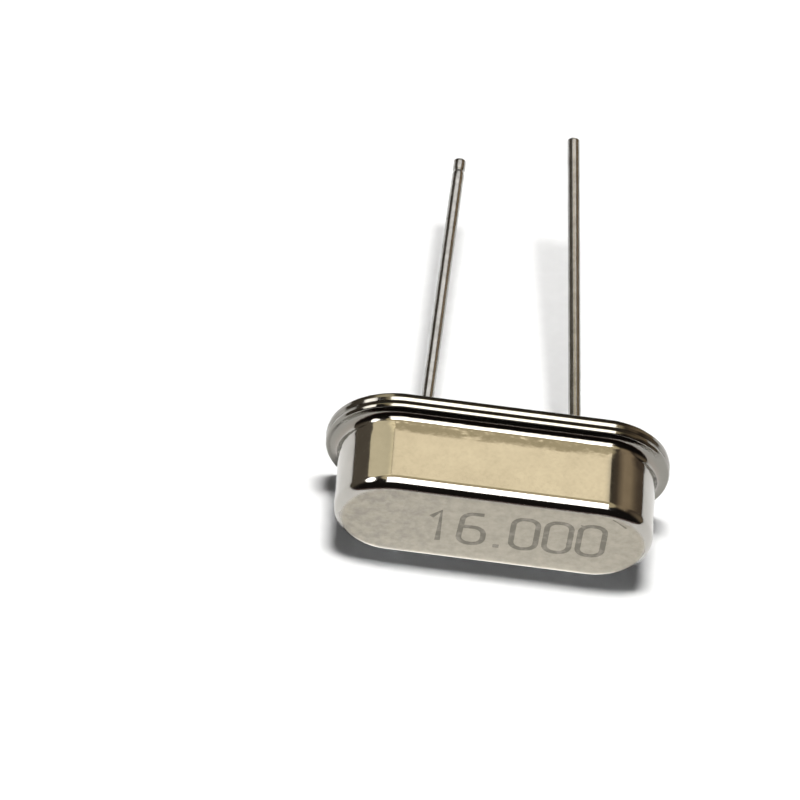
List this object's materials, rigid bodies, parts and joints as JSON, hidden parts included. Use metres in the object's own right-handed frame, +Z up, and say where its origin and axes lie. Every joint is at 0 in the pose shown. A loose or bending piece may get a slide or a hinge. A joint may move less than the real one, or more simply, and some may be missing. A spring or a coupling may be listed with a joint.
{
  "type": "quartz crystal",
  "caption": "Low-profile quartz crystal: drawn oval metal can with a rounded closed end, welded flange and wire leads through glass seals, lying on its flat side.",
  "frame": {"origin": "centre of the part's box, at the surface that it lies on", "axes": "+Z up from that surface, +X along the can's long side, +Y back along the leads, with the closed end to the front at -Y"},
  "size_m": [0.011, 0.0162, 0.0051],
  "materials": {
    "can_nickel": "satin",
    "base_nickel": "satin",
    "seal_glass": "gloss",
    "lead_wire": "satin",
    "clip_sheet": "satin",
    "quartz": "satin",
    "electrode_film": "polished",
    "conductive_adhesive": "matte"
  },
  "bodies": {
    "root": {"can": "can_nickel", "base": "base_nickel", "glass_seal_left": "seal_glass", "glass_seal_right": "seal_glass", "lead_left": "lead_wire", "lead_right": "lead_wire", "support_clip_left": "clip_sheet", "support_clip_right": "clip_sheet", "quartz_blank": "quartz", "top_electrode": "electrode_film", "bottom_electrode": "electrode_film", "adhesive_left": "conductive_adhesive", "adhesive_right": "conductive_adhesive"}
  },
  "joints": []
}
